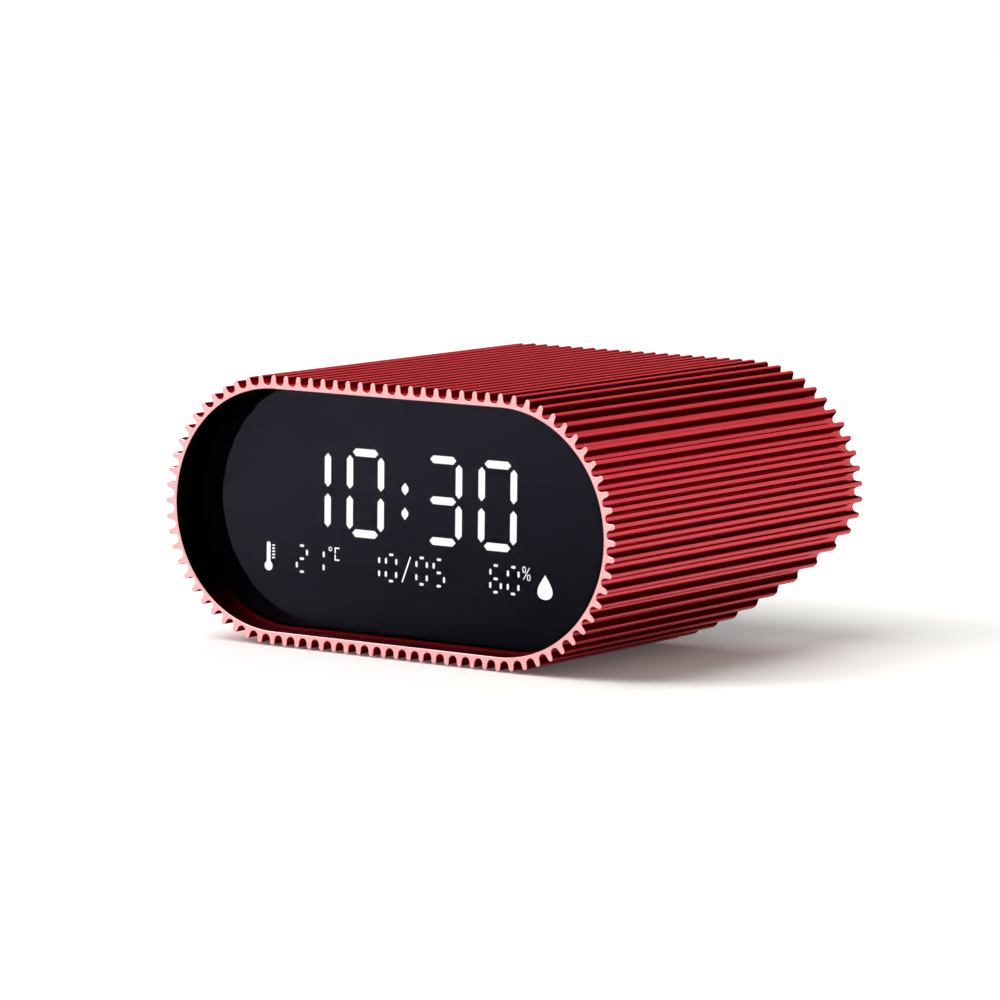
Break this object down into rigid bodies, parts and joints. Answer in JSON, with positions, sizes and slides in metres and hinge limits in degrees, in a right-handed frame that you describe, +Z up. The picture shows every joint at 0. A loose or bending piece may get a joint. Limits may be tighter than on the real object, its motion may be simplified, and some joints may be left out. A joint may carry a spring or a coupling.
{
  "type": "digital alarm clock",
  "caption": "Desk alarm clock in a ribbed stadium-shaped metal tube, with a recessed lit segment display, a sloped rear underside, rear push buttons, charging socket and rubber feet.",
  "frame": {"origin": "middle of the underside, on the surface that the feet stand on", "axes": "+X to the viewer's right along the width, -Y out of the display, +Z up"},
  "size_m": [0.12, 0.101, 0.0599],
  "materials": {
    "anodised_red": "anodised satin red, end faces cut bright",
    "smoked_lens": "glossy smoked acrylic",
    "black_mask": "glossy black",
    "lit_window": "lit white",
    "dark_window": "unlit, dark",
    "circuit_board": "solder mask",
    "lamp_chip": "phosphor",
    "black_chip": "moulded",
    "screw_steel": "zinc plated",
    "frame_plastic": "moulded",
    "ribbon_film": "flat cable",
    "ivory_plastic": "moulded",
    "battery_foil": "pouch foil",
    "grey_foam": "foam tape",
    "red_lead": "sleeved wire",
    "black_lead": "sleeved wire",
    "socket_steel": "plated",
    "button_plastic": "fine satin",
    "cover_plastic": "fine spark texture",
    "black_screw": "black oxide",
    "foot_rubber": "matt"
  },
  "bodies": {
    "clock": {"ribbed_shell": "anodised_red", "lens": "smoked_lens", "lens_gasket": "black_mask", "display_reflector": "black_mask", "time_windows": "lit_window", "time_windows_unlit": "dark_window", "reading_windows": "lit_window", "reading_windows_unlit": "dark_window", "icon_windows": "lit_window", "display_board": "circuit_board", "time_leds": "lamp_chip", "reading_leds": "lamp_chip", "driver_chips": "black_chip", "display_screws": "screw_steel", "inner_frame": "frame_plastic", "display_ribbon": "ribbon_film", "ribbon_connectors": "ivory_plastic", "battery_cell": "battery_foil", "battery_pad": "grey_foam", "battery_lead_plus": "red_lead", "battery_lead_minus": "black_lead", "battery_connector": "ivory_plastic", "main_board": "circuit_board", "board_screws": "screw_steel", "control_chip": "black_chip", "power_chips": "black_chip", "buzzer": "black_chip", "climate_sensor": "black_chip", "usb_socket": "socket_steel", "usb_tongue": "black_chip", "switch_bodies": "black_chip", "rear_cover": "cover_plastic", "cover_screws": "black_screw", "shell_screws": "screw_steel", "rubber_feet": "foot_rubber"},
    "snooze": {"snooze_bar": "button_plastic", "snooze_plunger": "ivory_plastic"},
    "set": {"set_button": "button_plastic", "set_plunger": "ivory_plastic"},
    "down": {"down_button": "button_plastic", "down_plunger": "ivory_plastic"},
    "up": {"up_button": "button_plastic", "up_plunger": "ivory_plastic"},
    "alarm": {"alarm_button": "button_plastic", "alarm_plunger": "ivory_plastic"}
  },
  "joints": [
    {"name": "snooze_press", "type": "slide", "parent": "clock", "child": "snooze", "axis": [0, -1, 0], "range_m": [0, 0.0005], "stiffness_N_per_m": 1500, "springref_m": -0.0003},
    {"name": "set_press", "type": "slide", "parent": "clock", "child": "set", "axis": [0, -1, 0], "range_m": [0, 0.0005], "stiffness_N_per_m": 1500, "springref_m": -0.0003},
    {"name": "down_press", "type": "slide", "parent": "clock", "child": "down", "axis": [0, -1, 0], "range_m": [0, 0.0005], "stiffness_N_per_m": 1500, "springref_m": -0.0003},
    {"name": "up_press", "type": "slide", "parent": "clock", "child": "up", "axis": [0, -1, 0], "range_m": [0, 0.0005], "stiffness_N_per_m": 1500, "springref_m": -0.0003},
    {"name": "alarm_press", "type": "slide", "parent": "clock", "child": "alarm", "axis": [0, -1, 0], "range_m": [0, 0.0005], "stiffness_N_per_m": 1500, "springref_m": -0.0003}
  ]
}
